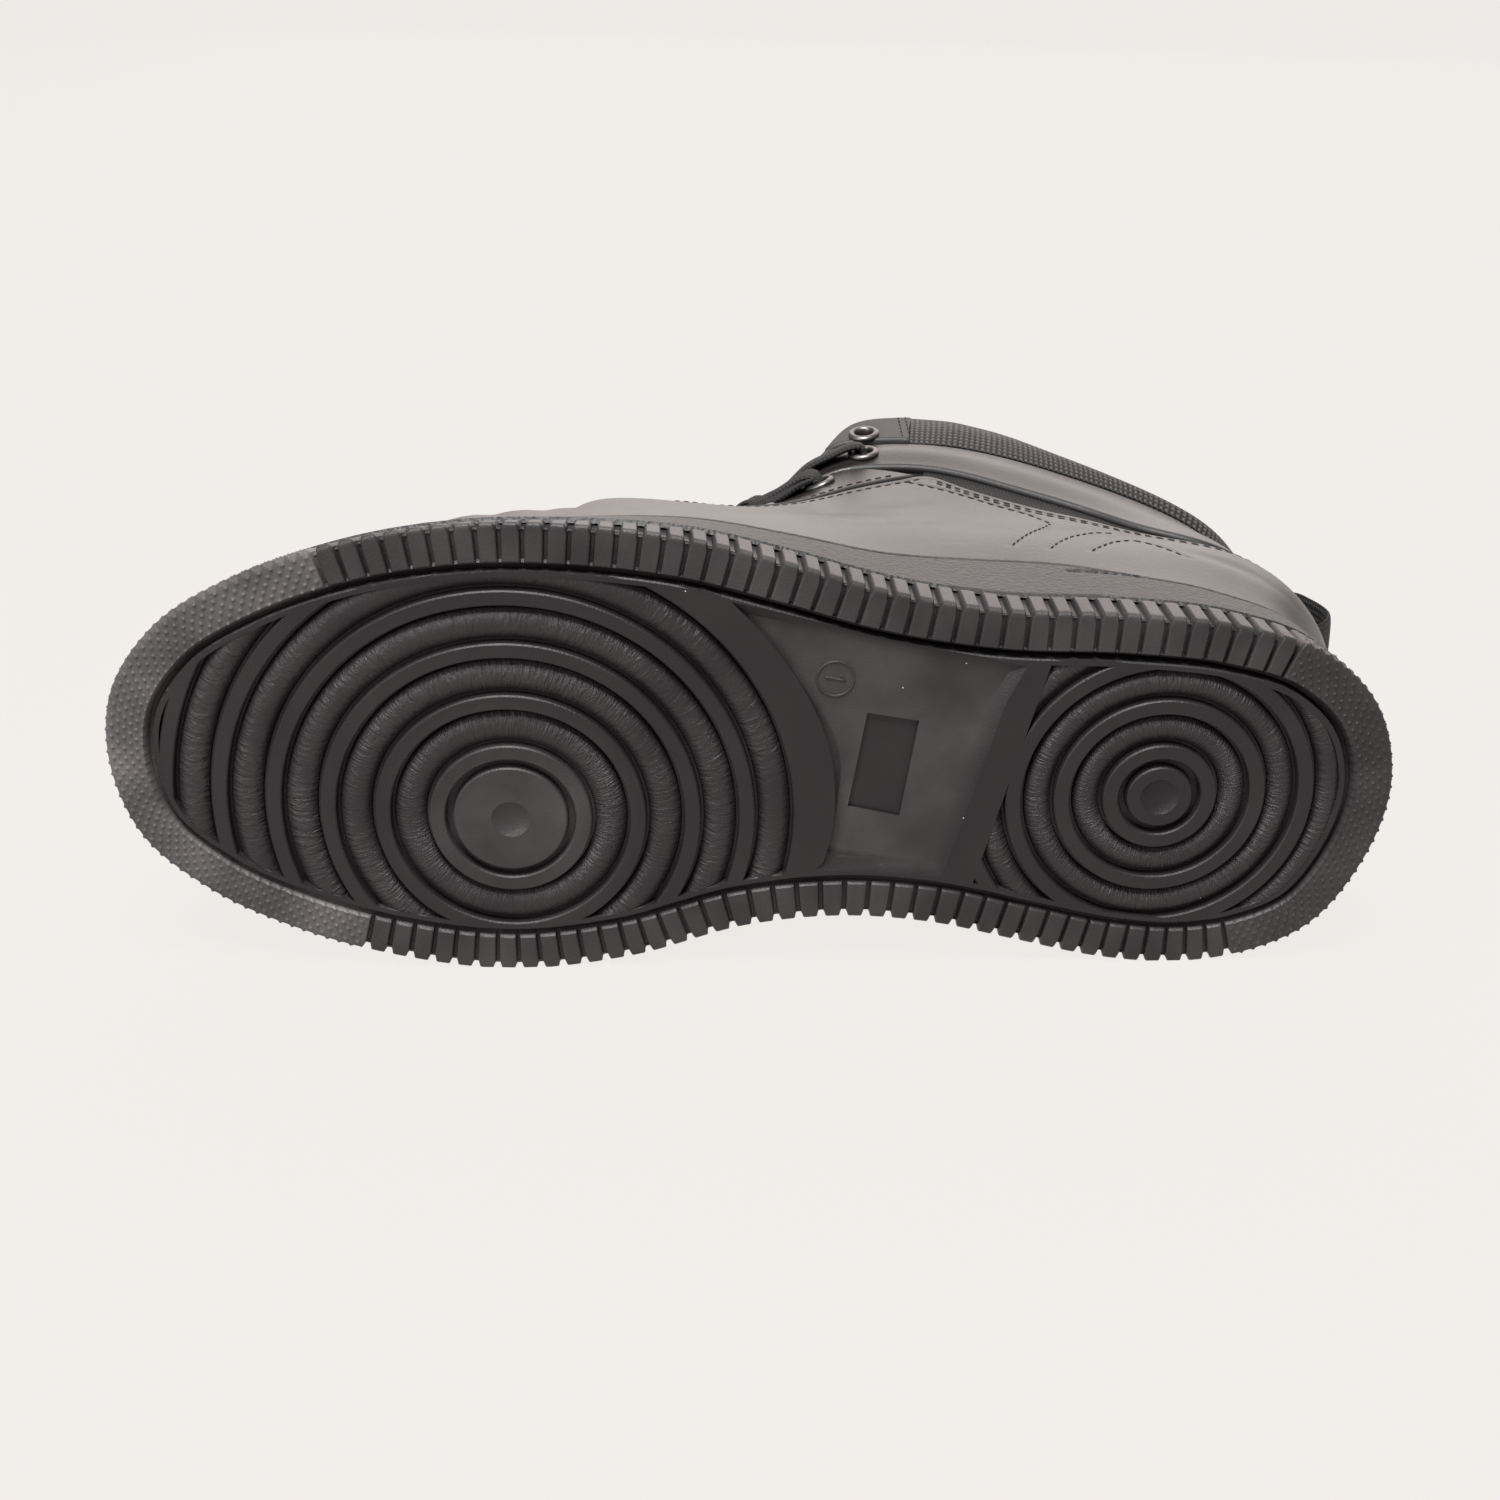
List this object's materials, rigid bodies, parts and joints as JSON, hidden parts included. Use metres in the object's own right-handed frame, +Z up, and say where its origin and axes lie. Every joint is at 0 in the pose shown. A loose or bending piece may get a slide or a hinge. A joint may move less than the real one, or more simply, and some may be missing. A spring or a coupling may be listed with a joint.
{
  "type": "high-top sneaker",
  "caption": "Left high-top sneaker lying on its inner side: cup sole with ribbed rim and ring tread, hollow leather upper, padded mesh collar, laced tongue and heel pull loop.",
  "frame": {"origin": "centre of the bounding box, on the floor that the shoe lies on", "axes": "toe towards -X, sole facing -Y, collar towards +Y, outer side of the shoe up along +Z"},
  "size_m": [0.306, 0.1536, 0.1115],
  "materials": {
    "sole_rubber": "matt moulded rubber tread",
    "cup_rubber": "leather-grained moulded rubber sidewall",
    "leather": "smooth full-grain leather, semi-matt",
    "mesh": "heavy ballistic weave over foam",
    "lining": "knitted textile lining",
    "webbing": "woven webbing tape",
    "eyelet_metal": "dark nickel eyelet",
    "lace": "flat woven lace"
  },
  "bodies": {
    "root": {"ankle_band": "leather", "collar": "mesh", "eyelet_lateral_1": "eyelet_metal", "eyelet_lateral_2": "eyelet_metal", "eyelet_lateral_3": "eyelet_metal", "eyelet_lateral_4": "eyelet_metal", "eyelet_lateral_5": "eyelet_metal", "eyelet_lateral_6": "eyelet_metal", "eyelet_lateral_7": "eyelet_metal", "eyelet_medial_1": "eyelet_metal", "eyelet_medial_2": "eyelet_metal", "eyelet_medial_3": "eyelet_metal", "eyelet_medial_4": "eyelet_metal", "eyelet_medial_5": "eyelet_metal", "eyelet_medial_6": "eyelet_metal", "eyelet_medial_7": "eyelet_metal", "eyestay": "leather", "flap_lateral": "leather", "flap_medial": "leather", "insole": "lining", "laces": "lace", "midsole": "cup_rubber", "outsole": "sole_rubber", "pull_loop": "webbing", "quarter_lateral": "leather", "quarter_medial": "leather", "tongue": "lining", "upper": "leather"}
  },
  "joints": []
}
